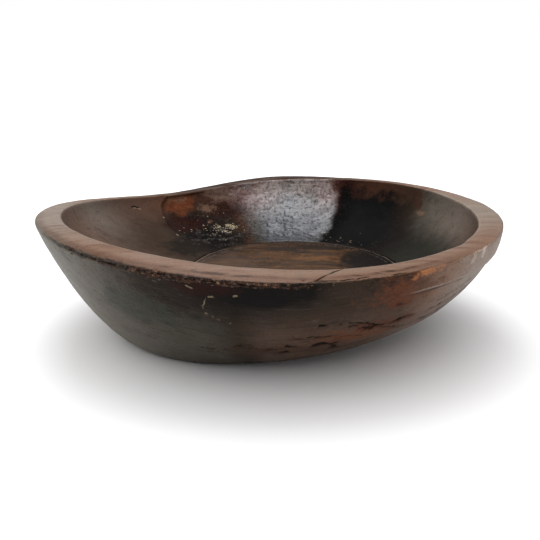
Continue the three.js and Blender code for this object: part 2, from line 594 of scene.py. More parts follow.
class NodeMaker:
    """Adds nodes to a shader or geometry tree."""

    def __init__(self, tree: bpy.types.NodeTree) -> None:
        """Starts with an empty tree."""
        self.tree = tree
        tree.nodes.clear()

    def feed(self, socket: bpy.types.NodeSocket, value: Any) -> None:
        """Links a signal to an input, or sets the input's own value."""
        if isinstance(value, Signal):
            self.tree.links.new(value.socket, socket)
        else:
            socket.default_value = value

    def node(self, kind: str, settings: dict[str, Any] | None = None,
             inputs: dict[Any, Any] | None = None) -> bpy.types.Node:
        """Adds one node.

        Args:
            kind: The node's type.
            settings: Its own settings, set before its sockets.
            inputs: Values or signals by the input's name or number.

        Returns:
            The node.
        """
        made = self.tree.nodes.new(kind)
        for name, value in (settings or {}).items():
            setattr(made, name, value)
        for key, value in (inputs or {}).items():
            self.feed(made.inputs[key], value)
        return made

    def out(self, node: bpy.types.Node, key: Any = 0) -> Signal:
        """A node's output as a signal."""
        return Signal(self, node.outputs[key])

    def math(self, operation: str, *values: Value) -> Signal:
        """A Math node on numbers."""
        return self.out(self.node("ShaderNodeMath", {"operation": operation}, dict(enumerate(values))))

    def vector_math(self, operation: str, *values: Value) -> Signal:
        """A Vector Math node on vectors."""
        return self.out(self.node("ShaderNodeVectorMath", {"operation": operation}, dict(enumerate(values))))

    def scaled(self, vector: Signal, scale: Value) -> Signal:
        """A vector times a number."""
        node = self.node("ShaderNodeVectorMath", {"operation": "SCALE"}, {0: vector, "Scale": scale})
        return self.out(node)

    def centred(self, vector: Signal) -> Signal:
        """A random vector, moved so that its middle is 0."""
        return self.vector_math("SUBTRACT", vector, (0.5, 0.5, 0.5))

    def stretched(self, vector: Signal, factors: tuple[float, float, float]) -> Signal:
        """A vector times its own factor on each axis."""
        return self.vector_math("MULTIPLY", vector, factors)

    def grade(self, value: Value, low: float, high: float) -> Signal:
        """A soft ramp from 0 at `low` to 1 at `high`.

        Args:
            value: The number to grade.
            low: Where the ramp starts.
            high: Where the ramp ends; it may lie below `low`.

        Returns:
            The graded number.
        """
        start, end, ends = (low, high, (0.0, 1.0)) if low < high else (high, low, (1.0, 0.0))
        inputs = {"Value": value, "From Min": start, "From Max": end, "To Min": ends[0], "To Max": ends[1]}
        return self.out(self.node("ShaderNodeMapRange", {"interpolation_type": "SMOOTHSTEP"}, inputs))

    def noise(self, place: Signal, size: float, detail: float = 3.0, rough: float = 0.55,
              warp: float = 0.0) -> Signal:
        """Cloudy noise from 0 to 1, with lumps of one size, in metres."""
        inputs = {
            "Vector": place, "Scale": 1.0 / size, "Detail": detail, "Roughness": rough, "Distortion": warp,
        }
        return self.out(self.node("ShaderNodeTexNoise", {}, inputs))

    def random(self, low: Value, high: Value, seed: Value) -> Signal:
        """A random number for each point or crumb."""
        node = self.node("FunctionNodeRandomValue", {"data_type": "FLOAT"}, {2: low, 3: high, "Seed": seed})
        return self.out(node, 1)

    def named(self, name: str) -> Signal:
        """A number stored on the points that a geometry tree works on."""
        return self.out(self.node("GeometryNodeInputNamedAttribute", {"data_type": "FLOAT"}, {"Name": name}))

    def position(self) -> Signal:
        """The place of each point that a geometry tree works on."""
        return self.out(self.node("GeometryNodeInputPosition"))

    def on_object(self) -> Signal:
        """A place on the surface, measured from the object's origin."""
        return self.out(self.node("ShaderNodeTexCoord"), "Object")

    def ramp(self, factor: Value, stops: Sequence[tuple[float, Colour]]) -> Signal:
        """A colour ramp through stops of (place, colour)."""
        node = self.node("ShaderNodeValToRGB", {}, {"Fac": factor})
        elements = node.color_ramp.elements
        while len(elements) > 1:
            elements.remove(elements[-1])
        for place, colour in stops[1:]:
            elements.new(place).color = colour
        elements[0].position, elements[0].color = stops[0]
        return self.out(node, "Color")

    def mix(self, first: Value, second: Value, factor: Value) -> Signal:
        """The first colour, turning into the second as the factor goes from 0 to 1."""
        settings = {"data_type": "RGBA", "clamp_factor": True}
        return self.out(self.node("ShaderNodeMix", settings, {0: factor, 6: first, 7: second}), 2)

    def blend_number(self, first: Value, second: Value, factor: Signal) -> Signal:
        """The first number, turning into the second as the factor goes from 0 to 1."""
        return factor * second + (1.0 - factor) * first

    def bump(self, height: Signal, strength: float, distance: float) -> Signal:
        """The surface's normal, bumped by a height."""
        inputs = {"Strength": strength, "Distance": distance, "Height": height}
        return self.out(self.node("ShaderNodeBump", {}, inputs))

    def surface(self, inputs: dict[str, Any]) -> None:
        """Ends a material with its shader."""
        shader = self.node("ShaderNodeBsdfPrincipled", {}, inputs)
        output = self.node("ShaderNodeOutputMaterial")
        self.tree.links.new(shader.outputs[0], output.inputs["Surface"])


# ---------------------------------------------------------------- finishes


def tint(red: int, green: int, blue: int) -> Colour:
    """A paint colour given from 0 to 255 as a screen shows it, as linear light."""
    parts = [part / 255.0 for part in (red, green, blue)]
    linear = [part / 12.92 if part < 0.04045 else ((part + 0.055) / 1.055) ** 2.4 for part in parts]
    return (linear[0], linear[1], linear[2], 1.0)


class Wood(Enum):
    """The colours that age, soot, hands and food have given the wood, and the colours of painted highlights."""

    ASH = tint(104, 98, 88)
    STONE = tint(84, 78, 70)
    MOSS = tint(52, 57, 48)
    DUSK = tint(70, 65, 57)
    WALNUT = tint(50, 43, 36)
    UMBER = tint(40, 32, 26)
    SOOT = tint(20, 16, 14)
    PITCH = tint(10, 9, 9)
    OXBLOOD = tint(38, 16, 11)
    CHESTNUT = tint(60, 38, 28)
    RUST = tint(84, 46, 29)
    EMBER = tint(170, 110, 68)
    CINNAMON = tint(80, 56, 45)
    CLAY = tint(104, 84, 74)
    TAN = tint(120, 92, 75)
    SAND = tint(134, 121, 110)
    PUTTY = tint(104, 93, 85)
    BARK = tint(80, 61, 49)
    BRICK = tint(98, 53, 31)
    TAUPE = tint(80, 64, 55)
    HAZEL = tint(98, 78, 67)
    LOAM = tint(52, 40, 31)
    OCHRE = tint(104, 70, 42)
    # Painted highlight colours for the glossy back of the hollow.
    PINK_HIGHLIGHT = tint(88, 52, 47)
    BLUE_HIGHLIGHT = tint(40, 44, 52)
    CREAM = tint(160, 144, 116)
    LICHEN = tint(34, 34, 29)
    # A painted highlight colour, for the gleam on the collar's worn facet.
    WHITE_HIGHLIGHT = tint(214, 198, 186)
    STRAW = tint(150, 120, 86)


Stops = tuple[tuple[float, Wood], ...]


@dataclass(frozen=True)
class WallFinish:
    """The outer wall's colours by bearing near the rim and near the foot: patina, with the pale grey on the left
    side partly a painted reflection and the sand on the collar at the right a painted highlight.
    """

    high: Stops = (
        (-180, Wood.STONE), (-152, Wood.ASH), (-132, Wood.STONE), (-117, Wood.UMBER), (-97, Wood.SOOT),
        (-84, Wood.UMBER), (-70, Wood.LOAM), (-58, Wood.CHESTNUT), (-48, Wood.TAN), (-37, Wood.SAND),
        (-10, Wood.TAN), (25, Wood.CINNAMON), (60, Wood.BARK), (100, Wood.UMBER), (145, Wood.LOAM),
        (180, Wood.STONE),
    )
    low: Stops = (
        (-180, Wood.ASH), (-150, Wood.ASH), (-132, Wood.STONE), (-116, Wood.DUSK), (-108, Wood.DUSK),
        (-98, Wood.LOAM), (-90, Wood.TAUPE), (-80, Wood.BARK), (-66, Wood.TAUPE), (-52, Wood.BARK),
        (-40, Wood.CLAY), (-10, Wood.CINNAMON),
        (25, Wood.BARK), (60, Wood.BARK), (100, Wood.WALNUT), (145, Wood.BARK), (180, Wood.ASH),
    )
    rough: float = 0.5
    coat: float = 0.35


@dataclass(frozen=True)
class RimFinish:
    """The rim's worn wood, paler and greyer at the sides than at the front and back as a painted reflection."""

    stops: Stops = (
        (-180, Wood.SAND), (-158, Wood.SAND), (-132, Wood.TAN), (-90, Wood.TAN), (-60, Wood.TAN),
        (-30, Wood.TAN), (0, Wood.SAND), (35, Wood.TAN), (70, Wood.OXBLOOD), (118, Wood.OXBLOOD),
        (150, Wood.TAN), (180, Wood.SAND),
    )
    rough: float = 0.55
    coat: float = 0.25


@dataclass(frozen=True)
class SlopeFinish:
    """The hollow's slope: colours by bearing near the rim and near the floor; the rose and slate blue at the back
    are painted highlight colours.
    """

    high: Stops = (
        (-180, Wood.HAZEL), (-120, Wood.LOAM), (-60, Wood.LOAM), (-15, Wood.TAUPE), (8, Wood.PUTTY),
        (24, Wood.STONE), (33, Wood.LOAM), (48, Wood.CHESTNUT), (62, Wood.OXBLOOD), (69, Wood.PINK_HIGHLIGHT),
        (82, Wood.BLUE_HIGHLIGHT), (92, Wood.PINK_HIGHLIGHT), (100, Wood.PINK_HIGHLIGHT), (108, Wood.CHESTNUT), (121, Wood.CHESTNUT),
        (134, Wood.CINNAMON), (150, Wood.TAUPE), (164, Wood.PUTTY), (180, Wood.HAZEL),
    )
    low: Stops = (
        (-180, Wood.TAUPE), (-120, Wood.UMBER), (-60, Wood.UMBER), (-15, Wood.LICHEN), (12, Wood.LICHEN),
        (30, Wood.SOOT), (46, Wood.PITCH), (62, Wood.PITCH), (70, Wood.BLUE_HIGHLIGHT), (86, Wood.BLUE_HIGHLIGHT),
        (90, Wood.BLUE_HIGHLIGHT), (97, Wood.WALNUT), (103, Wood.CHESTNUT), (106, Wood.UMBER), (116, Wood.SOOT),
        (132, Wood.SOOT), (141, Wood.LOAM), (160, Wood.LOAM), (180, Wood.TAUPE),
    )
    rough: float = 0.5


@dataclass(frozen=True)
class FloorFinish:
    """The floor's planed wood: long grain, ochre where it is worn and dark in patches."""

    base: Wood = Wood.LOAM
    worn: Wood = Wood.OCHRE
    stain: Wood = Wood.SOOT
    rough: float = 0.55


@dataclass(frozen=True)
class ResidueFinish:
    """A crumbly residue: two colours, how rough it is, and how large and deep its grain is."""

    name: str
    pale: Wood
    dark: Wood
    rough: float = 0.9
    patch_size: float = 0.004
    grain_size: float = 0.0006
    grain_relief: float = 0.0004

    def build(self) -> bpy.types.Material:
        """Makes the residue's material, varied from crumb to crumb."""
        material = bpy.data.materials.new(self.name)
        material.use_nodes = True
        maker = NodeMaker(material.node_tree)
        place = maker.on_object()
        grain = maker.noise(place, self.patch_size, 4.0)
        fine = maker.noise(place, self.grain_size, 3.0)
        lightness = maker.grade(grain * 0.6 + fine * 0.4, 0.34, 0.62)
        colour = maker.mix(self.dark.value, self.pale.value, lightness)
        normal = maker.bump(fine, 0.5, self.grain_relief)
        maker.surface({"Base Color": colour, "Roughness": self.rough, "Normal": normal})
        return material


@dataclass(frozen=True)
class Blot:
    """A ragged patch of colour, a stain or, on the collar, a painted highlight: its middle, its reach on each axis
    and its colour.
    """

    middle: Place
    reach: Place
    colour: Wood
    strength: float = 1.0
    ragged: float = 0.45


# Stains on the outer wall, and the painted highlights on the collar.
WALL_STAINS_AND_HIGHLIGHTS: tuple[Blot, ...] = (
    Blot((-0.095, -0.146, 0.072), (0.040, 0.034, 0.020), Wood.MOSS, 0.6),
    Blot((-0.060, -0.165, 0.055), (0.045, 0.030, 0.016), Wood.MOSS, 0.2),
    Blot((-0.004, -0.188, 0.097), (0.050, 0.026, 0.015), Wood.PITCH, 0.9, 0.3),
    Blot((-0.043, -0.186, 0.100), (0.026, 0.020, 0.009), Wood.OXBLOOD, 0.7),
    Blot((0.094, -0.156, 0.089), (0.034, 0.030, 0.016), Wood.BRICK, 0.62, 0.9),
    Blot((0.094, -0.152, 0.077), (0.012, 0.014, 0.005), Wood.RUST, 0.95, 0.7),
    Blot((0.092, -0.152, 0.0765), (0.004, 0.006, 0.002), Wood.OXBLOOD, 0.9, 0.8),
    Blot((0.110, -0.150, 0.092), (0.016, 0.014, 0.007), Wood.CHESTNUT, 0.5, 1.2),
    Blot((0.109, -0.160, 0.1035), (0.009, 0.012, 0.0045), Wood.EMBER, 0.8, 0.7),
    Blot((0.100, -0.163, 0.100), (0.005, 0.008, 0.0025), Wood.EMBER, 0.5, 0.9),
    Blot((0.121, -0.152, 0.104), (0.006, 0.008, 0.003), Wood.EMBER, 0.4, 0.9),
    Blot((0.060, -0.134, 0.047), (0.034, 0.030, 0.012), Wood.BRICK, 0.6, 0.9),
    Blot((0.080, -0.135, 0.057), (0.030, 0.030, 0.007), Wood.RUST, 0.55, 0.9),
    Blot((0.020, -0.128, 0.033), (0.060, 0.030, 0.010), Wood.CHESTNUT, 0.6, 1.0),
    # Painted highlight: the sand and near-white patches on the collar at the right stand in for light gleaming on
    # it.
    Blot((0.153, -0.121, 0.106), (0.027, 0.024, 0.007), Wood.SAND, 1.0, 0.5),
    Blot((0.154, -0.121, 0.109), (0.015, 0.018, 0.0026), Wood.WHITE_HIGHLIGHT, 0.8, 0.9),
    Blot((0.160, -0.114, 0.104), (0.0035, 0.010, 0.0075), Wood.WHITE_HIGHLIGHT, 0.75, 1.1),
    Blot((0.150, -0.124, 0.103), (0.0025, 0.010, 0.006), Wood.WHITE_HIGHLIGHT, 0.5, 1.2),
)

SLOPE_BLOTS: tuple[Blot, ...] = (
    Blot((-0.083, 0.110, 0.071), (0.024, 0.024, 0.010), Wood.OXBLOOD, 0.9, 0.5),
    Blot((-0.046, 0.140, 0.078), (0.024, 0.024, 0.009), Wood.OXBLOOD, 0.8, 0.5),
    Blot((-0.094, 0.138, 0.085), (0.019, 0.022, 0.012), Wood.BRICK, 0.85, 0.5),
    Blot((-0.099, 0.142, 0.091), (0.012, 0.014, 0.007), Wood.TAN, 0.5, 0.9),
    Blot((-0.066, 0.142, 0.079), (0.011, 0.014, 0.006), Wood.TAN, 0.6, 1.0),
    Blot((-0.061, 0.125, 0.069), (0.004, 0.008, 0.002), Wood.CINNAMON, 0.8, 0.6),
    Blot((0.146, 0.088, 0.100), (0.005, 0.010, 0.011), Wood.CHESTNUT, 0.75, 1.1),
    Blot((0.148, 0.079, 0.089), (0.005, 0.006, 0.003), Wood.TAN, 0.5, 1.1),
    Blot((0.120, 0.128, 0.104), (0.040, 0.030, 0.007), Wood.CHESTNUT, 0.7, 0.7),
    Blot((-0.050, 0.092, 0.060), (0.040, 0.034, 0.005), Wood.PITCH, 0.7, 0.8),
    Blot((-0.076, 0.058, 0.061), (0.030, 0.028, 0.008), Wood.SOOT, 0.85, 0.6),
    Blot((-0.052, 0.160, 0.091), (0.018, 0.022, 0.008), Wood.CLAY, 0.55, 1.2),
    Blot((-0.024, 0.170, 0.101), (0.007, 0.020, 0.007), Wood.SOOT, 0.7, 0.6),
    Blot((0.045, 0.150, 0.086), (0.008, 0.020, 0.012), Wood.SOOT, 0.7, 0.7),
)


def stray(noise: Signal, reach: float) -> Signal:
    """A noise as a wander of half the reach, either way of 0."""
    return (noise - 0.5) * reach


class BowlPaint:
    """Builds the bowl's one wood material out of its finishes."""

    coat_rough: float = 0.3
    coat_ior: float = 1.75
    bare_shine: float = 0.025
    relief_strength: float = 0.75
    relief_depth: float = 0.0012
    darkest_front: tuple[float, float] = (-112.0, -70.0)

    def __init__(self, wall: WallFinish, rim: RimFinish, slope: SlopeFinish, floor: FloorFinish) -> None:
        """Keeps the finishes and makes the coordinates that they all share."""
        self.finishes = (wall, rim, slope, floor)
        self.material = bpy.data.materials.new("aged_wood")
        self.material.use_nodes = True
        self.maker = NodeMaker(self.material.node_tree)
        self.place = self.maker.on_object()
        self.arris = self._attribute("arris")
        self.lip = self._attribute("lip")
        self.mouth = self._attribute("mouth")
        self.well = self._attribute("well")
        self.dirt = self._attribute("dirt")
        self.chip = self._attribute("chip")
        self.pale = self._attribute("pale")
        self._fields()

    def _attribute(self, name: str) -> Signal:
        """A number stored on the mesh's points."""
        node = self.maker.node("ShaderNodeAttribute", {"attribute_name": name})
        return self.maker.out(node, "Fac")

    def _fields(self) -> None:
        """Makes the noises and the ragged coordinates that the finishes share."""
        make = self.maker
        self.broad = make.noise(self.place, 0.060, 3.0)
        self.middling = make.noise(self.place, 0.014, 4.0, 0.6)
        self.fine = make.noise(self.place, 0.0026, 4.0, 0.65)
        self.dust = make.noise(self.place, 0.0014, 3.0, 0.7)
        self.grain = make.noise(make.stretched(self.place, (0.06, 1.0, 1.0)), 0.0022, 4.0, 0.6, 0.4)
        self.fibre = make.noise(make.stretched(self.place, (0.12, 1.0, 1.0)), 0.007, 5.0, 0.65, 0.8)
        inputs = {"Vector": self.place, "Rotation": (0.0, 0.9, 0.3), "Scale": (0.08, 1.0, 1.0)}
        slanted = make.out(make.node("ShaderNodeMapping", {}, inputs))
        self.scuffs = make.noise(slanted, 0.0035, 4.0, 0.6, 0.3)
        self.crazing = make.noise(self.place, 0.0052, 5.0, 0.66, 0.9)
        self.tool_rings = make.math("SINE", self.well * 2.4 + self.middling * 5.0)
        inputs = {"Vector": self.place, "Scale": 90.0, "Detail": 5.0}
        ragged = make.out(make.node("ShaderNodeTexNoise", {}, inputs), "Color")
        self.shake = make.centred(ragged)
        place = make.vector_math("ADD", self.place, make.scaled(self.shake, 0.012))
        axes = make.node("ShaderNodeSeparateXYZ", {}, {0: place})
        self.height = make.out(axes, "Z")
        self.bearing = make.math("ARCTAN2", make.out(axes, "Y"), make.out(axes, "X")) * (180.0 / math.pi)
        self.lean = (0.1 - self.height) * 110.0

    def by_bearing(self, stops: Stops) -> Signal:
        """A colour that changes round the bowl."""
        round_once = [(bearing / 360.0 + 0.5, wood.value) for bearing, wood in stops]
        return self.maker.ramp(self.bearing * (1.0 / 360.0) + 0.5, round_once)

    def blot(self, colour: Signal, stain: Blot) -> Signal:
        """Lays a ragged stain or painted highlight over a colour.

        Args:
            colour: The colour below.
            stain: The stain or painted highlight.

        Returns:
            The stained colour.
        """
        make = self.maker
        offset = make.vector_math("SUBTRACT", self.place, stain.middle)
        offset = make.vector_math("DIVIDE", offset, stain.reach)
        offset = make.vector_math("ADD", offset, make.scaled(self.shake, 2.4 * stain.ragged))
        reach = make.out(make.node("ShaderNodeVectorMath", {"operation": "LENGTH"}, {0: offset}), "Value")
        edge = reach + (self.fine - 0.5) * (1.6 * stain.ragged)
        return make.mix(colour, stain.colour.value, make.grade(edge, 1.15, 0.55) * stain.strength)

    def window(self, low: float, high: float, soft: float = 4.0) -> Signal:
        """1 between two bearings, falling softly to 0 outside them."""
        return self.maker.grade(self.bearing, low - soft, low + soft) * self.maker.grade(
            self.bearing, high + soft, high - soft)

    def lay(self, colour: Signal, wood: Wood, amount: Value) -> Signal:
        """One of the wood's colours laid over another, by an amount from 0 to 1."""
        return self.maker.mix(colour, wood.value, amount)

    def band(self, value: Signal, start: float, full: float, fade: float, end: float) -> Signal:
        """A soft band: it grows from `start` to `full` and is gone again from `fade` to `end`."""
        return self.maker.grade(value, start, full) * self.maker.grade(value, end, fade)

    def wall_colour(self, finish: WallFinish) -> Signal:
        """The outer wall's colour."""
        make = self.maker
        high, low = self.by_bearing(finish.high), self.by_bearing(finish.low)
        colour = make.mix(low, high, make.grade(self.height + stray(self.broad, 0.02), 0.045, 0.09))
        front = self.window(*self.darkest_front, 8.0)
        worn = make.grade(self.fibre, 0.46, 0.28) * make.grade(self.middling, 0.4, 0.65)
        colour = self.lay(colour, Wood.CLAY, worn * (1.0 - front * 0.8) * 0.35)
        scuff = make.grade(self.scuffs, 0.58, 0.72) * make.grade(self.broad, 0.35, 0.6)
        colour = self.lay(colour, Wood.ASH, scuff * (1.0 - front * 0.7) * 0.6)
        for stain in WALL_STAINS_AND_HIGHLIGHTS:
            colour = self.blot(colour, stain)
        crust = make.grade(self.fibre, 0.52, 0.72)
        colour = self.lay(colour, Wood.SOOT, crust * 0.6)
        # Painted light on the collar's fold: the facet above the fold laid lighter, a highlight line just above it
        # and painted shade just below it.
        fold = self.window(-56.0, 24.0, 6.0)
        collar = make.grade(self.arris, -0.4, 0.5) * fold
        colour = self.lay(colour, Wood.TAN, collar * make.grade(self.middling, 0.7, 0.4) * 0.5)
        shade = self.band(self.arris, -5.0, -1.2, -0.1, 0.5) * fold
        colour = self.lay(colour, Wood.SOOT, shade * make.grade(self.middling, 0.25, 0.5) * 0.85)
        fold_highlight = self.band(self.arris, 0.0, 0.8, 1.6, 3.2) * fold
        bright = fold_highlight * make.grade(self.fine * 0.5 + self.middling * 0.5, 0.4, 0.52)
        colour = self.lay(colour, Wood.SAND, bright * (make.grade(self.bearing, -24.0, -36.0) * 0.75 + 0.15))
        splinters = make.grade(self.fibre * 0.6 + self.fine * 0.4, 0.42, 0.6)
        broken = make.mix(Wood.SOOT.value, Wood.CINNAMON.value, splinters)
        broken = self.lay(broken, Wood.STRAW, make.grade(self.fine, 0.57, 0.66) * 0.75)
        colour = make.mix(colour, broken, make.grade(self.chip, 0.12, 0.4) * 0.9)
        loose = self.lip + stray(self.middling, 6.0) + stray(self.fine, 2.5)
        torn = self.band(loose, -5.6, -4.2, -1.4, -0.2) * self.window(-140.0, -82.0, 8.0)
        colour = make.mix(colour, broken, torn * 0.8)
        groove = self.band(loose, -4.0, -2.6, -1.0, 0.4) * self.window(-148.0, -122.0, 6.0)
        colour = self.lay(colour, Wood.UMBER, groove * 0.75)
        return colour

    def rim_colour(self, finish: RimFinish) -> Signal:
        """The rim's colour, with darker grain, a reddish outer edge, a painted highlight along the inner edge and
        a painted shade line along the outer edge.
        """
        make = self.maker
        colour = self.by_bearing(finish.stops)
        streak = make.grade(self.fibre * 0.7 + self.grain * 0.3, 0.46, 0.68)
        colour = self.lay(colour, Wood.CINNAMON, streak * 0.55)
        grey = make.grade(self.middling, 0.55, 0.75)
        colour = self.lay(colour, Wood.STONE, grey * 0.3)
        # Painted highlight: a pale line along the rim's inner edge.
        inner_edge_highlight = make.grade(self.mouth + stray(self.fine, 1.5), -2.6, -1.2) * self.window(-160.0, 24.0, 8.0)
        colour = self.lay(colour, Wood.SAND, inner_edge_highlight * 0.5)
        inner = make.grade(self.mouth + stray(self.middling, 4.0), -13.0, -5.0)
        colour = self.lay(colour, Wood.SAND, inner * make.grade(self.fibre, 0.6, 0.4) * 0.3)
        edge = make.grade(self.lip + stray(self.middling, 6.0), 8.0, 2.0) * self.window(-164.0, -45.0, 14.0)
        colour = self.lay(colour, Wood.CHESTNUT, edge * 0.5)
        front = self.window(-112.0, -52.0, 8.0)
        loose = self.lip + stray(self.middling, 2.0)
        band = self.band(loose, 3.6, 4.6, 6.2, 7.4) * front
        colour = self.lay(colour, Wood.OXBLOOD, band * make.grade(self.fibre, 0.4, 0.55) * 0.6)
        outer = make.grade(loose, 4.0, 3.0) * front
        colour = self.lay(colour, Wood.TAN, outer * 0.55)
        # Painted shade: a dark line along the rim's rounded outer edge at the front.
        line = make.grade(self.lip + stray(self.fine, 2.0), 1.6, 0.2) * self.window(-136.0, -50.0, 8.0)
        colour = self.lay(colour, Wood.SOOT, line * make.grade(self.middling, 0.4, 0.6) * 0.8)
        return colour

    def slope_colour(self, finish: SlopeFinish) -> Signal:
        """The inner slope's colour, with a painted highlight at the top of the glossy back."""
        make = self.maker
        high, low = self.by_bearing(finish.high), self.by_bearing(finish.low)
        colour = make.mix(low, high, make.grade(self.height + stray(self.broad, 0.012), 0.066, 0.092))
        for stain in SLOPE_BLOTS:
            colour = self.blot(colour, stain)
        pits = make.grade(self.crazing * 0.45 + self.fine * 0.55, 0.46, 0.38) * self.window(60.0, 114.0)
        colour = self.lay(colour, Wood.SOOT, pits * 0.5)
        # Painted highlight: the top of the glossy back wall laid lighter.
        upper = make.grade(self.height + stray(self.middling, 0.02), 0.082, 0.1)
        sheen = self.window(70.0, 98.0, 7.0) * upper
        colour = self.lay(colour, Wood.CLAY, sheen * (make.grade(self.fine, 0.4, 0.56) * 0.55 + 0.4))
        brush = make.grade(self.fibre, 0.5, 0.72)
        colour = self.lay(colour, Wood.UMBER, brush * 0.4)
        black = make.grade(self.bearing, 24.0, 44.0) * make.grade(self.bearing + self.lean, 66.4, 63.0)
        black = black * make.grade(self.height + stray(self.middling, 0.034), 0.104, 0.09)
        return self.lay(colour, Wood.PITCH, black)

    def floor_colour(self, finish: FloorFinish) -> Signal:
        """The floor's colour, with a painted highlight on the ridge inside the groove."""
        make = self.maker
        cloud = make.noise(make.stretched(self.place, (0.45, 1.0, 1.0)), 0.016, 5.0, 0.75, 0.5)
        rubbed = make.grade(cloud * 0.6 + self.grain * 0.4, 0.42, 0.58)
        colour = make.mix(finish.base.value, finish.worn.value, rubbed * 0.62)
        colour = self.lay(colour, Wood.UMBER, make.grade(self.fibre, 0.44, 0.6) * 0.8)
        pale = make.grade(self.grain, 0.42, 0.3) * make.grade(self.middling, 0.4, 0.6)
        colour = self.lay(colour, Wood.TAN, pale * 0.35)
        troughs = self.tool_rings * 0.5 + 0.5
        colour = self.lay(colour, Wood.SOOT, troughs * make.grade(self.well, 34.0, 6.0) * 0.6)
        for stain in (
            Blot((-0.040, 0.030, 0.056), (0.050, 0.040, 0.02), Wood.TAUPE, 0.4, 1.0),
            Blot((-0.058, 0.056, 0.056), (0.022, 0.022, 0.02), finish.stain, 0.75, 0.7),
            Blot((0.055, 0.032, 0.056), (0.022, 0.010, 0.02), Wood.OCHRE, 0.5, 1.0),
            Blot((0.012, 0.040, 0.056), (0.034, 0.014, 0.02), Wood.OCHRE, 0.4, 1.2),
            Blot((0.098, 0.024, 0.056), (0.042, 0.046, 0.02), finish.stain, 1.0, 0.5),
            Blot((0.060, 0.075, 0.056), (0.050, 0.014, 0.02), finish.stain, 0.6, 0.6),
        ):
            colour = self.blot(colour, stain)
        wander = self.well + stray(self.middling, 2.5)
        # Painted highlight: a pale line on the ridge just inside the groove.
        ridge = self.band(wander, 2.8, 3.4, 4.2, 5.2) * make.grade(self.fine, 0.36, 0.52)
        colour = self.lay(colour, Wood.SAND, ridge * 0.7)
        trace = self.band(wander, 8.0, 8.6, 9.6, 10.6) * make.grade(self.fine, 0.44, 0.6)
        colour = self.lay(colour, Wood.PUTTY, trace * 0.4)
        return colour

    def masks(self) -> tuple[Signal, Signal, Signal]:
        """Where the rim, the slope and the floor start, each from 0 to 1."""
        make = self.maker
        loose = stray(self.middling, 3.0) + stray(self.fine, 1.6)
        rim = make.grade(self.lip + loose, -0.6, 0.5)
        slope = make.grade(self.mouth + loose * 0.35, -0.4, 0.8)
        floor = make.grade(self.well + loose * 0.3, -0.3, 0.5)
        return rim, slope, floor

    def build(self) -> bpy.types.Material:
        """Joins the finishes into the material."""
        make = self.maker
        wall, rim, slope, floor = self.finishes
        on_rim, on_slope, on_floor = self.masks()
        gloomy = self.window(24.0, 62.0, 6.0) * on_slope + self.window(-112.0, -72.0, 8.0) * (1.0 - on_rim)
        colour = make.mix(self.wall_colour(wall), self.rim_colour(rim), on_rim)
        colour = make.mix(colour, self.slope_colour(slope), on_slope)
        colour = make.mix(colour, self.floor_colour(floor), on_floor)
        speck = make.grade(self.dust, 0.5, 0.68) * 0.5
        colour = self.lay(colour, Wood.SOOT, speck * (1.0 - on_rim * 0.5))
        colour = self.lay(colour, Wood.PUTTY, make.grade(self.dust, 0.42, 0.25) * (1.0 - gloomy) * 0.25)
        # The dark tone: dirt in cracks, rot and crevices, and painted shade in the floor's groove and at the foot
        # of the scoop's edge.
        colour = self.lay(colour, Wood.SOOT, make.grade(self.dirt + stray(self.fine, 0.5), 0.25, 0.75) * 0.92)
        marks = make.grade(self.pale + stray(self.fine, 0.8), 0.12, 0.55)
        colour = self.lay(colour, Wood.CREAM, marks * 0.46)

        rough = make.blend_number(wall.rough, rim.rough, on_rim)
        rough = make.blend_number(rough, slope.rough, on_slope)
        rough = make.blend_number(rough, floor.rough, on_floor)
        rough = (rough + stray(self.middling, 0.3) + stray(self.fine, 0.2) + self.dirt * 0.3).clamped()

        gloss = make.grade(self.bearing + self.lean, 64.8, 68.2)
        gloss = gloss * make.grade(self.bearing + self.lean * 1.7, 111.0, 92.0)
        gloss = gloss * on_slope * (1.0 - on_floor)
        patches = make.grade(self.crazing * 0.4 + self.fine * 0.6, 0.38, 0.54) * 0.62 + 0.38
        gloss = gloss * patches * (make.grade(self.middling, 0.34, 0.56) * 0.35 + 0.65)
        sides = make.grade(self.bearing, -112.0, -150.0) + make.grade(self.bearing, -62.0, -38.0)
        outside = (sides.clamped() * 0.85 + 0.15) * (1.0 - on_rim) * wall.coat
        outside = outside + on_rim * (1.0 - on_slope) * rim.coat
        outside = outside * (1.0 - self.window(48.0, 132.0, 8.0) * on_rim * 0.85)
        coat = (gloss * 0.95 + outside * 0.55 + on_floor * 0.08).clamped() * (1.0 - self.dirt)

        inputs = {
            "Base Color": colour, "Roughness": rough, "Coat Weight": coat, "Coat Roughness": self.coat_rough,
            "Coat IOR": self.coat_ior, "Specular IOR Level": self.bare_shine,
            "Normal": self.relief(on_slope, on_floor),
        }
        make.surface(inputs)
        return self.material

    def relief(self, on_slope: Signal, on_floor: Signal) -> Signal:
        """The fine relief, as a bumped normal."""
        make = self.maker
        crazed = make.grade(self.crazing * 0.5 + self.fine * 0.5, 0.56, 0.36)
        crazed = crazed * self.window(58.0, 128.0) * on_slope
        height = self.grain * 0.35 + self.fibre * 0.5 + self.fine * 0.5 - crazed * 1.1
        height = height - make.grade(self.dirt, 0.1, 0.9) * 0.6 - self.chip * self.fine * 1.2
        rings = self.tool_rings * make.grade(self.well, 40.0, 6.0)
        height = height + rings * on_floor * 0.35
        return make.bump(height, self.relief_strength, self.relief_depth)


# ---------------------------------------------------------------- geometry nodes


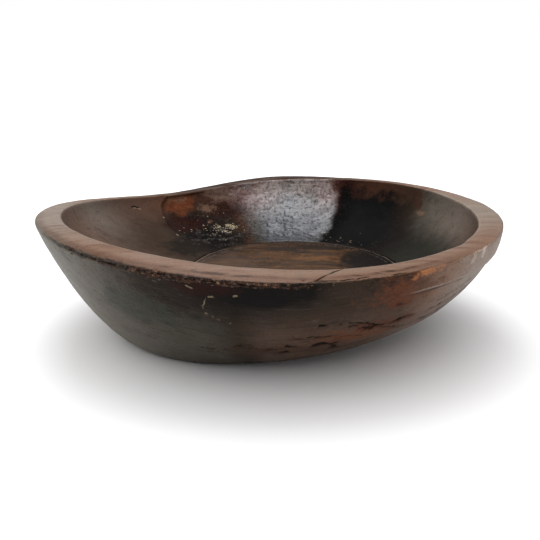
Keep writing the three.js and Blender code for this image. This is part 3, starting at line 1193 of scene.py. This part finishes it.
class GeometryTree:
    """A Geometry Nodes tree with named inputs."""

    def __init__(self, name: str, sizes: dict[str, float]) -> None:
        """Makes the tree with a geometry input, a material input and one number for each size."""
        self.tree = bpy.data.node_groups.new(name, "GeometryNodeTree")
        face = self.tree.interface
        face.new_socket("Geometry", in_out="INPUT", socket_type="NodeSocketGeometry")
        face.new_socket("Material", in_out="INPUT", socket_type="NodeSocketMaterial")
        for size in sizes:
            face.new_socket(size, in_out="INPUT", socket_type="NodeSocketFloat")
        face.new_socket("Geometry", in_out="OUTPUT", socket_type="NodeSocketGeometry")
        self.sizes = sizes
        self.make = NodeMaker(self.tree)
        self.entry = self.make.node("NodeGroupInput")

    def given(self, name: str) -> Signal:
        """A named input as a signal."""
        return self.make.out(self.entry, name)

    def close(self, geometry: Signal) -> None:
        """Ends the tree with Realize Instances and Set Material."""
        make = self.make
        real = make.out(make.node("GeometryNodeRealizeInstances", {}, {"Geometry": geometry}))
        inputs = {"Geometry": real, "Material": self.given("Material")}
        dressed = make.node("GeometryNodeSetMaterial", {}, inputs)
        output = make.node("NodeGroupOutput")
        self.tree.links.new(dressed.outputs[0], output.inputs[0])

    def run(self, piece: bpy.types.Object, material: bpy.types.Material) -> None:
        """Runs the tree on a piece and leaves the result as the piece's own plain mesh.

        Args:
            piece: The object whose mesh the tree takes and replaces.
            material: What the result is made of.
        """
        modifier = piece.modifiers.new(self.tree.name, "NODES")
        modifier.node_group = self.tree
        for item in self.tree.interface.items_tree:
            if item.in_out == "INPUT" and item.name in self.sizes:
                modifier[item.identifier] = self.sizes[item.name]
            elif item.in_out == "INPUT" and item.name == "Material":
                modifier[item.identifier] = material
        bpy.context.view_layer.update()
        graph = bpy.context.evaluated_depsgraph_get()
        made = bpy.data.meshes.new_from_object(piece.evaluated_get(graph), preserve_all_data_layers=True,
                                               depsgraph=graph)
        piece.modifiers.clear()
        piece.data = made
        made.name = piece.name


def adze_tree() -> GeometryTree:
    """Dents a surface as an adze and a scraper leave it: shallow facets, and long low ripples."""
    group = GeometryTree("adze_marks", {"Facet Size": 0.017, "Facet Depth": 0.00055, "Ripple Depth": 0.0005,
                                        "Pit Depth": 0.0003})
    make = group.make
    place = make.position()
    normal = make.out(make.node("GeometryNodeInputNormal"))
    foot = make.out(make.node("ShaderNodeSeparateXYZ", {}, {0: place}), "Z")
    stretched = make.stretched(place, (0.7, 1.0, 1.2))
    warp = make.out(make.node("ShaderNodeTexNoise", {}, {"Vector": stretched, "Scale": 30.0}), "Color")
    warped = make.vector_math("ADD", stretched, make.scaled(warp, 0.012))
    scale = 1.0 / group.given("Facet Size")
    cell = make.out(make.node("ShaderNodeTexVoronoi", {}, {"Vector": warped, "Scale": scale}), "Distance")
    dish = (cell * cell - 0.25) * group.given("Facet Depth")
    ripple = (make.noise(place, 0.045, 2.0) - 0.5) * group.given("Ripple Depth")
    pits = (make.noise(place, 0.005, 2.0) - 0.5) * group.given("Pit Depth")
    on_rim = make.grade(make.named("lip"), -2.0, 0.5) * make.grade(make.named("mouth"), 1.0, -1.0)
    off_foot = make.grade(foot, 0.0005, 0.004)
    move = (dish * (1.0 - on_rim * 0.75) + ripple * 2.0 + pits) * off_foot
    inputs = {"Geometry": group.given("Geometry"), "Offset": make.scaled(normal, move)}
    group.close(make.out(make.node("GeometryNodeSetPosition", {}, inputs)))
    return group


CRUMB_STRETCH = (0.7, 1.7)
CRUMB_CHIPS_PER_METRE = 900.0


class Spread(Enum):
    """How crumbs are spread: over a patch of surface, or along a path."""

    PATCH = "patch"
    PATH = "path"


def crumb_tree(name: str, spread: Spread, sizes: dict[str, float]) -> GeometryTree:
    """Scatters small irregular crumbs.

    Args:
        name: The tree's name.
        spread: Over a patch of surface or along a path.
        sizes: The values of Amount, Smallest, Largest, Flatness, Wander and Seed.

    Returns:
        The tree.
    """
    group = GeometryTree(name, sizes)
    make = group.make
    seed = group.given("Seed")
    source = group.given("Geometry")
    if spread is Spread.PATCH:
        density = make.named("crust") * group.given("Amount")
        points = make.node("GeometryNodeDistributePointsOnFaces", {"distribute_method": "RANDOM"},
                           {"Mesh": source, "Density": density, "Seed": seed})
    else:
        curve = make.out(make.node("GeometryNodeMeshToCurve", {}, {"Mesh": source}))
        points = make.node("GeometryNodeCurveToPoints", {"mode": "LENGTH"},
                           {"Curve": curve, "Length": 1.0 / group.given("Amount")})
    place = make.position()
    shaken = make.node("ShaderNodeTexWhiteNoise", {"noise_dimensions": "3D"}, {"Vector": place})
    wander = make.scaled(make.centred(make.out(shaken, "Color")), group.given("Wander"))
    inputs = {"Geometry": make.out(points), "Offset": wander}
    moved = make.out(make.node("GeometryNodeSetPosition", {}, inputs))
    ball = make.out(make.node("GeometryNodeMeshIcoSphere", {}, {"Radius": 1.0, "Subdivisions": 1}))
    across = make.random(group.given("Smallest"), group.given("Largest"), seed)
    stretch = make.random(*CRUMB_STRETCH, seed + 3.0)
    axes = {"X": across * stretch, "Y": across, "Z": across * group.given("Flatness")}
    scale = make.out(make.node("ShaderNodeCombineXYZ", {}, axes))
    inputs = {"Points": moved, "Instance": ball, "Rotation": make.out(points, "Rotation"), "Scale": scale}
    placed = make.out(make.node("GeometryNodeInstanceOnPoints", {}, inputs))
    spin = make.random(0.0, math.tau, seed + 7.0)
    euler = make.out(make.node("ShaderNodeCombineXYZ", {}, {"Z": spin}))
    spun = make.out(make.node("GeometryNodeRotateInstances", {}, {"Instances": placed, "Rotation": euler}))
    solid = make.out(make.node("GeometryNodeRealizeInstances", {}, {"Geometry": spun}))
    inputs = {"Vector": place, "Scale": CRUMB_CHIPS_PER_METRE, "Detail": 2.0}
    rough = make.out(make.node("ShaderNodeTexNoise", {}, inputs), "Color")
    chip = make.scaled(make.centred(rough), group.given("Largest") * 1.1)
    group.close(make.out(make.node("GeometryNodeSetPosition", {}, {"Geometry": solid, "Offset": chip})))
    return group


# ---------------------------------------------------------------- pieces


def add_piece(name: str, mesh: bpy.types.Mesh) -> bpy.types.Object:
    """Adds an object at the origin."""
    piece = bpy.data.objects.new(name, mesh)
    bpy.context.scene.collection.objects.link(piece)
    return piece


def mesh_from(name: str, points: Array, faces: Sequence[Sequence[int]], edges: Any = ()) -> bpy.types.Mesh:
    """A mesh from points and faces."""
    mesh = bpy.data.meshes.new(name)
    mesh.from_pydata(points.tolist(), list(edges), [list(face) for face in faces])
    mesh.update()
    return mesh


def points_of(mesh: bpy.types.Mesh) -> Array:
    """A mesh's points."""
    flat = np.empty(len(mesh.vertices) * 3)
    mesh.vertices.foreach_get("co", flat)
    return flat.reshape(-1, 3)


def normals_of(mesh: bpy.types.Mesh) -> Array:
    """A mesh's point normals."""
    flat = np.empty(len(mesh.vertices) * 3)
    mesh.vertex_normals.foreach_get("vector", flat)
    return flat.reshape(-1, 3)


def store(mesh: bpy.types.Mesh, name: str, values: Array) -> None:
    """Stores one number on each point of a mesh."""
    layer = mesh.attributes.get(name) or mesh.attributes.new(name, "FLOAT", "POINT")
    layer.data.foreach_set("value", values.astype(np.float32))


def stored(mesh: bpy.types.Mesh, name: str) -> Array:
    """The numbers stored on the points of a mesh."""
    values = np.empty(len(mesh.vertices))
    mesh.attributes[name].data.foreach_get("value", values)
    return values


@dataclass
class BowlBody:
    """The carved block: its fine mesh, the marks in it and its wood."""

    form: BowlForm
    sections: int = 480
    foot_rings: int = 5
    wall_rings: int = 34
    collar_rings: int = 11
    edge_rings: int = 7
    rim_rings: int = 10
    slope_rings: int = 46
    floor_rings: int = 18
    wall_top: float = 0.978
    slope_top: float = 0.03
    chip_depth: float = 0.0016
    chip_reach: float = 3.2
    crevice_depth: float = 0.0011

    def rings(self) -> tuple[Array, dict[str, int]]:
        """All the rings from the middle of the foot to the middle of the floor.

        Returns:
            The rings, and the numbers of those at the outer edge, inner edge and floor's edge.
        """
        form = self.form
        bearing = np.linspace(-math.pi, math.pi, self.sections, endpoint=False)
        foot = np.stack([ring(bearing, form.foot.radius * share, 0.0, form.foot.middle)
                         for share in np.linspace(0.0, 1.0, self.foot_rings + 1)[1:-1]])
        collar = form.collar
        below = np.linspace(0.0, collar.foot, self.wall_rings)
        above = np.linspace(collar.edge, self.wall_top, self.collar_rings)
        wall = form.wall(bearing, np.concatenate([below, above]))
        outer, inner = form.outer_edge(bearing), form.inner_edge(bearing)
        share = form.outer_round.at(bearing)
        rim_start = outer + (inner - outer) * share[:, None]
        rim_end = form.rim(bearing, np.array([1.0 - form.inner_round]))[0]
        slope = form.slope(bearing, np.linspace(self.slope_top, 1.0, self.slope_rings))
        face = bend((rim_start, rim_end), np.linspace(0.0, 1.0, self.rim_rings + 2)[1:-1])
        crown = np.sin(np.linspace(0.0, math.pi, self.rim_rings + 2)[1:-1])
        face[..., 2] += form.rim_crown * crown[:, None]
        outer_edge = form.rounded(wall[-1], outer, rim_start, self.edge_rings)[1:]
        inner_edge = form.rounded(rim_end, inner, slope[0], self.edge_rings)[:-1]
        parts = [foot, wall, outer_edge, face, inner_edge, slope, form.floor_rings(bearing, self.floor_rings)]
        ends = np.cumsum([len(part) for part in parts])
        marks = {
            "arris": int(ends[0] + self.wall_rings),
            "lip": int(ends[1] + self.edge_rings // 2),
            "mouth": int(ends[3] + self.edge_rings // 2),
            "well": int(ends[5]),
        }
        return np.concatenate(parts) + form.plan_shift(), marks

    def plain_mesh(self) -> bpy.types.Mesh:
        """The smooth closed form, with its distances past each edge stored in millimetres."""
        rings, marks = self.rings()
        count, sections = rings.shape[:2]
        shift = self.form.plan_shift()
        foot = np.array([*self.form.foot.middle, 0.0]) + shift
        floor = self.form.floor
        well = np.array([*floor.middle, floor.height - self.form.floor_step]) + shift
        points = np.concatenate([rings.reshape(-1, 3), foot[None], well[None]])
        here = np.arange(sections)
        following = (here + 1) % sections
        faces = []
        for row in range(count - 1):
            low, high = row * sections, (row + 1) * sections
            faces.extend(np.stack([low + here, low + following, high + following, high + here], 1).tolist())
        top = (count - 1) * sections
        faces.extend([len(points) - 2, int(b), int(a)] for a, b in zip(here, following))
        faces.extend([len(points) - 1, int(top + a), int(top + b)] for a, b in zip(here, following))
        mesh = mesh_from(NODE, points, faces)
        steps = np.linalg.norm(np.diff(rings, axis=0), axis=-1)
        run = np.concatenate([np.zeros((1, sections)), np.cumsum(steps, 0)])
        for name, row in marks.items():
            past = (run - run[row]) / MM
            ends = [past[0].mean(), past[-1].mean() + floor.radius / MM * 0.02]
            store(mesh, name, np.concatenate([past.reshape(-1), ends]))
        return mesh

    def refine(self, mesh: bpy.types.Mesh, reach: float, cuts: Sequence[Cut] = CUTS) -> None:
        """Divides the faces near the marks, so that thin cracks have a shape.

        Args:
            mesh: The mesh.
            reach: How far from a mark the division goes.
            cuts: The marks.
        """
        points = points_of(mesh)
        near = np.zeros(len(points), bool)
        for cut in cuts:
            near |= cut.distance(points, self.form) < cut.width * 1.5 + reach
        in_hollow = (stored(mesh, "mouth") > 1.0) & (points[:, 1] > 0.05) & (points[:, 2] > 0.058)
        near |= (reach > 0.0005) & (np.abs(Scoop().past_edge(points)) < reach) & in_hollow
        bearing = np.degrees(bearing_of(points))
        if reach > 0.002:
            near |= (np.abs(stored(mesh, "lip") + 1.5) < 3.5) & (bearing > -152.0) & (bearing < -84.0)
            on_slope = (stored(mesh, "mouth") > 2.0) & (stored(mesh, "well") < 0.0)
            near |= on_slope & (bearing > 62.0) & (bearing < 127.0)
            low = (points[:, 2] > 0.022) & (points[:, 2] < 0.062) & (stored(mesh, "lip") < 0.0)
            near |= low & (bearing > -106.0) & (bearing < -48.0)
        shape = bmesh.new()
        shape.from_mesh(mesh)
        shape.verts.ensure_lookup_table()
        edges = [edge for edge in shape.edges if near[edge.verts[0].index] and near[edge.verts[1].index]]
        bmesh.ops.subdivide_edges(shape, edges=edges, cuts=1, use_grid_fill=True)
        bmesh.ops.triangulate(shape, faces=[face for face in shape.faces if len(face.verts) > 4])
        shape.to_mesh(mesh)
        shape.free()

    def carve(self, mesh: bpy.types.Mesh) -> None:
        """Presses the cuts, the scoop and the chips into the mesh, and stores what they show."""
        points, normals = points_of(mesh), normals_of(mesh)
        lip, mouth, well = (stored(mesh, name) for name in ("lip", "mouth", "well"))
        press = np.zeros(len(points))
        tones = {Tone.DIRT_AND_SHADE: np.zeros(len(points)), Tone.PALE: np.zeros(len(points))}
        for cut in CUTS:
            closeness = bell(cut.distance(points, self.form), cut.width)
            if cut.surface is Surface.WALL:
                closeness *= lip < 1.0
            press += closeness * cut.depth
            tones[cut.tone] = np.maximum(tones[cut.tone], closeness * cut.show)
        on_slope = smooth_step(mouth, 0.5, 3.0) * (1.0 - smooth_step(well, -4.0, 0.0))
        scoop = Scoop()
        press += scoop.at(points) * on_slope
        at_back = on_slope * (points[:, 1] > 0.05)
        tones[Tone.PALE] = np.maximum(tones[Tone.PALE], scoop.worn_edge(points) * at_back * 0.75)
        # Painted shadow along the foot of the scoop's edge, stored with the dirt.
        tones[Tone.DIRT_AND_SHADE] = np.maximum(tones[Tone.DIRT_AND_SHADE], scoop.ledge_shadow(points) * at_back * 0.35)
        chips, crevice = self.chipped_edge(points, lip)
        decay = self.decay(points)
        press += chips + crevice + 0.0009 * decay
        tones[Tone.DIRT_AND_SHADE] = np.maximum(tones[Tone.DIRT_AND_SHADE], 0.85 * decay)
        bare = 1.6 * chips / self.chip_depth + 0.5 * crevice / self.crevice_depth
        store(mesh, "chip", np.clip(bare, 0.0, 1.0))
        bearing = np.degrees(bearing_of(points))
        glossy = plateau(bearing, 58.0, 64.0, 112.0, 126.0) * on_slope
        craters = Lattice(51).at(points, 0.0046, 3)
        press += 0.0004 * glossy * smooth_step(craters, 0.1, 0.6)
        tones[Tone.DIRT_AND_SHADE] = np.maximum(tones[Tone.DIRT_AND_SHADE], np.clip(crevice / self.crevice_depth, 0.0, 1.0))
        # Painted shade: a dark line in the groove round the floor, stored with the dirt.
        groove = bell(well - 1.6, 0.7)
        tones[Tone.DIRT_AND_SHADE] = np.maximum(tones[Tone.DIRT_AND_SHADE], groove * 0.8)
        moved = points - normals * press[:, None]
        mesh.vertices.foreach_set("co", moved.reshape(-1))
        for tone, values in tones.items():
            store(mesh, tone.value, values)
        mesh.update()

    def decay(self, points: Array) -> Array:
        """How far the wood has rotted and flaked low on the front wall, from 0 to 1."""
        bearing = np.degrees(bearing_of(points))
        height = points[:, 2] / MM
        band = plateau(bearing, -108.0, -98.0, -70.0, -60.0)
        band *= plateau(height, 22.0, 28.0, 36.0, 46.0)
        along = plateau(bearing, -76.0, -68.0, -52.0, -46.0)
        along *= plateau(height, 44.0, 50.0, 58.0, 63.0)
        lumps = Lattice(41).at(points * np.array([0.35, 1.0, 1.0]), 0.0042, 3)
        outside = np.linalg.norm(points[:, :2], axis=1) > 0.1
        return smooth_step(lumps, 0.22, 0.55) * np.clip(band + 0.8 * along, 0.0, 1.0) * outside

    def chipped_edge(self, points: Array, lip: Array) -> tuple[Array, Array]:
        """The chips along the rim's outer edge and the broken crevice just below it.

        Args:
            points: The mesh's points.
            lip: The distance past the outer edge, in millimetres.

        Returns:
            How deep the chips and the crevice are at each point.
        """
        bearing = np.degrees(bearing_of(points))
        strong = plateau(bearing, -147.0, -130.0, -100.0, -88.0)
        light = plateau(bearing, -150.0, -130.0, -62.0, -48.0)
        lumps = Lattice(23).at(points, 0.0045, 3)
        patches = Lattice(31).at(points, 0.022, 2)
        bite = np.clip(lumps - 0.05 + 0.5 * patches, 0.0, 1.0)
        torn = plateau(bearing, -128.0, -118.0, -102.0, -94.0)
        near_edge = bell(lip + 0.6 + 1.4 * torn, self.chip_reach)
        chips = self.chip_depth * bite * near_edge * (0.08 + 0.9 * strong + 0.35 * light + 0.5 * torn)
        broken = smooth_step(lumps * 0.5 + patches * 0.6, -0.55, 0.15)
        line = bell(lip + 3.0 + 1.2 * patches, 0.95)
        crevice = self.crevice_depth * line * broken * np.clip(strong + 0.45 * light, 0.0, 1.0)
        return chips, crevice

    def build(self, wood: bpy.types.Material) -> bpy.types.Object:
        """Makes the bowl.

        Args:
            wood: The bowl's material.

        Returns:
            The finished piece.
        """
        mesh = self.plain_mesh()
        self.refine(mesh, 0.0022)
        self.refine(mesh, 0.0010)
        self.refine(mesh, 0.0004, CUTS[:2])
        self.carve(mesh)
        mesh.shade_smooth()
        piece = add_piece("carved_bowl", mesh)
        adze_tree().run(piece, wood)
        flatten_foot(piece.data)
        return piece


def flatten_foot(mesh: bpy.types.Mesh) -> None:
    """Lets nothing reach below the surface that the bowl stands on."""
    points = points_of(mesh)
    points[:, 2] = np.maximum(points[:, 2], 0.0)
    mesh.vertices.foreach_set("co", points.reshape(-1))
    mesh.update()


@dataclass
class Crumbs:
    """One piece made of many crumbs: how thickly they lie, their sizes and what they are."""

    name: str
    amount: float
    smallest: float
    largest: float
    seed: int
    finish: ResidueFinish

    def scatter(self, mesh: bpy.types.Mesh, spread: Spread, flatness: float,
                wander: float) -> bpy.types.Object:
        """Scatters the crumbs.

        Args:
            mesh: The patch or the path that they lie on.
            spread: Which of the two it is.
            flatness: A crumb's height, as a share of its breadth.
            wander: How far they stray, in metres.

        Returns:
            The finished piece.
        """
        piece = add_piece(self.name, mesh)
        sizes = {
            "Amount": self.amount, "Smallest": self.smallest, "Largest": self.largest, "Flatness": flatness,
            "Wander": wander, "Seed": float(self.seed),
        }
        crumb_tree(self.name, spread, sizes).run(piece, self.finish.build())
        return piece


@dataclass
class CrustPatch(Crumbs):
    """Flecks of old residue over a patch of the inner slope."""

    middle: Place
    reach: Place

    def patch(self, bowl: bpy.types.Mesh) -> bpy.types.Mesh:
        """The faces of the bowl that the flecks lie on, with how thickly they lie stored on them."""
        points = points_of(bowl)
        away = np.linalg.norm((points - np.array(self.middle)) / np.array(self.reach), axis=1)
        clumps = Lattice(self.seed).at(points, 0.006, 3)
        weight = (1.0 - smooth_step(away, 0.35, 1.0)) * smooth_step(clumps, -0.15, 0.55)
        weight *= stored(bowl, "mouth") > 2.0
        kept = [tuple(face.vertices) for face in bowl.polygons if max(weight[i] for i in face.vertices) > 0.0]
        used = sorted({i for face in kept for i in face})
        number = {old: new for new, old in enumerate(used)}
        mesh = mesh_from(self.name, points[used], [[number[i] for i in face] for face in kept])
        store(mesh, "crust", weight[used])
        return mesh

    def build(self, bowl: bpy.types.Mesh) -> bpy.types.Object:
        """Scatters the flecks over their patch of the finished bowl."""
        return self.scatter(self.patch(bowl), Spread.PATCH, 0.4, 0.0003)


@dataclass
class EdgeCrumbs(Crumbs):
    """Crumbs and splinters caught in the chipped line under the rim."""

    form: BowlForm
    bearings: tuple[float, float]
    below: float

    def path(self) -> bpy.types.Mesh:
        """The line that the crumbs follow, a little below the rim's outer edge."""
        bearing = np.radians(np.linspace(*self.bearings, 160))
        edge = self.form.wall(bearing, np.array([1.0 - self.below]))[0] + self.form.plan_shift()
        edge[:, 2] += 0.0007 * Lattice(self.seed).at(edge, 0.009, 2)
        return mesh_from(self.name, edge, [], [(i, i + 1) for i in range(len(edge) - 1)])

    def build(self) -> bpy.types.Object:
        """Scatters the crumbs along the line."""
        return self.scatter(self.path(), Spread.PATH, 5.0, 0.0042)


# ---------------------------------------------------------------- studio


@dataclass
class Studio:
    """A pale round of floor, soft light and the camera."""

    floor_radius: float = 14.0
    floor_colour: Colour = (0.9, 0.9, 0.9, 1.0)
    surround: float = 0.5
    camera_place: Place = (0.0007, -0.7011, 0.2686)
    camera_tilt: float = 16.93
    camera_lens: float = 54.76

    def build(self) -> None:
        """Makes the floor, the world, the lights and the camera."""
        self._floor()
        self._world()
        self._sky_light("day_light", (-0.15, -0.4, 0.9), 75.0, 2.25)
        self._soft_light(
            "window_light", (-0.17, 0.42, 1.1), (-0.15, 0.3, 0.0), (0.66, 1.4), 7.5, (0.97, 0.98, 1.0),
        )
        self._camera()
        bpy.context.scene.view_settings.view_transform = "Standard"

    def _floor(self) -> None:
        """Makes the pale floor."""
        shape = bmesh.new()
        bmesh.ops.create_circle(shape, cap_ends=True, radius=self.floor_radius, segments=96)
        mesh = bpy.data.meshes.new("floor")
        shape.to_mesh(mesh)
        shape.free()
        floor = add_piece("floor", mesh)
        material = bpy.data.materials.new("pale_floor")
        material.use_nodes = True
        shader = material.node_tree.nodes["Principled BSDF"]
        shader.inputs["Base Color"].default_value = self.floor_colour
        shader.inputs["Roughness"].default_value = 0.9
        shader.inputs["Specular IOR Level"].default_value = 0.0
        mesh.materials.append(material)

    def _world(self) -> None:
        """Makes a white backdrop that lights the bowl only gently."""
        world = bpy.data.worlds.new("studio")
        world.use_nodes = True
        bpy.context.scene.world = world
        maker = NodeMaker(world.node_tree)
        seen = maker.out(maker.node("ShaderNodeLightPath"), "Is Camera Ray")
        strength = maker.blend_number(self.surround, 1.0, seen)
        inputs = {"Color": (1.0, 1.0, 1.0, 1.0), "Strength": strength}
        background = maker.node("ShaderNodeBackground", {}, inputs)
        output = maker.node("ShaderNodeOutputWorld")
        maker.tree.links.new(background.outputs[0], output.inputs[0])

    def _soft_light(self, name: str, place: Place, aim: Place, size: tuple[float, float], power: float,
                    colour: tuple[float, float, float]) -> None:
        """Adds a soft box.

        Args:
            name: The light's name.
            place: Where it hangs.
            aim: What it points at.
            size: Its width and depth.
            power: Its power, in watts.
            colour: Its colour.
        """
        light = bpy.data.lights.new(name, "AREA")
        light.shape = "RECTANGLE"
        light.size, light.size_y = size
        light.energy = power
        light.color = colour
        lamp = bpy.data.objects.new(name, light)
        lamp.location = place
        lamp.rotation_euler = (Vector(aim) - Vector(place)).to_track_quat("-Z", "Y").to_euler()
        bpy.context.scene.collection.objects.link(lamp)

    def _sky_light(self, name: str, place: Place, spread: float, power: float) -> None:
        """Adds an even light from one side of the sky.

        Args:
            name: The light's name.
            place: The direction it comes from.
            spread: How wide it looks, in degrees.
            power: Its power.
        """
        light = bpy.data.lights.new(name, "SUN")
        light.energy = power
        light.angle = math.radians(spread)
        lamp = bpy.data.objects.new(name, light)
        lamp.rotation_euler = (-Vector(place)).to_track_quat("-Z", "Y").to_euler()
        bpy.context.scene.collection.objects.link(lamp)

    def _camera(self) -> None:
        """Puts the camera in front of the bowl, looking a little down."""
        camera = bpy.data.objects.new("camera", bpy.data.cameras.new("camera"))
        camera.data.lens = self.camera_lens
        camera.location = self.camera_place
        camera.rotation_euler = (math.radians(90.0 - self.camera_tilt), 0.0, 0.0)
        bpy.context.scene.collection.objects.link(camera)
        bpy.context.scene.camera = camera


# ---------------------------------------------------------------- the whole scene


def settle(piece: bpy.types.Object) -> None:
    """Fixes a finished piece to the bowl's body, and reports it."""
    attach(piece, BODY)
    triangles = sum(len(face.vertices) - 2 for face in piece.data.polygons)
    LOG.info("%s: %d triangles", piece.name, triangles)


def residues(form: BowlForm, bowl: bpy.types.Mesh) -> list[bpy.types.Object]:
    """Makes the crusts in the hollow and the crumbs under the rim."""
    cream = ResidueFinish("cream_crust", Wood.CREAM, Wood.STONE)
    black = ResidueFinish("black_crust", Wood.UMBER, Wood.PITCH)
    ochre = ResidueFinish("ochre_crumbs", Wood.CINNAMON, Wood.UMBER)
    patches = (
        CrustPatch("cream_crust", 1.5e6, 0.0002, 0.0008, 7, cream, (-0.041, 0.118, 0.064), (0.020, 0.013, 0.008)),
        CrustPatch("cream_flecks", 1.0e5, 0.0002, 0.0007, 9, cream, (-0.055, 0.110, 0.066), (0.045, 0.050, 0.020)),
        CrustPatch(
            "floor_edge_flecks", 0.7e5, 0.0002, 0.0005, 12, cream, (0.085, 0.088, 0.060), (0.045, 0.030, 0.006),
        ),
        CrustPatch("black_crust", 0.9e6, 0.0003, 0.0010, 15, black, (-0.053, 0.095, 0.062), (0.045, 0.034, 0.012)),
    )
    crumbs = (
        EdgeCrumbs("rim_crumbs", 600.0, 0.0001, 0.00034, 21, ochre, form, (-121.0, -93.0), 0.014),
        EdgeCrumbs("rim_crumbs_dark", 500.0, 0.0001, 0.00036, 27, black, form, (-138.0, -118.0), 0.018),
        EdgeCrumbs("rim_crumbs_right", 160.0, 0.0001, 0.00028, 33, ochre, form, (-96.0, -55.0), 0.012),
    )
    return [patch.build(bowl) for patch in patches] + [line.build() for line in crumbs]


def main() -> None:
    """Builds the bowl, its residues and the studio."""
    logging.basicConfig(level=logging.INFO, format="%(name)s %(message)s")
    form = BowlForm()
    Studio().build()
    wood = BowlPaint(WallFinish(), RimFinish(), SlopeFinish(), FloorFinish()).build()
    bowl = BowlBody(form).build(wood)
    for piece in [bowl, *residues(form, bowl.data)]:
        settle(piece)
    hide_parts(NODE)


if __name__ == "__main__":
    main()
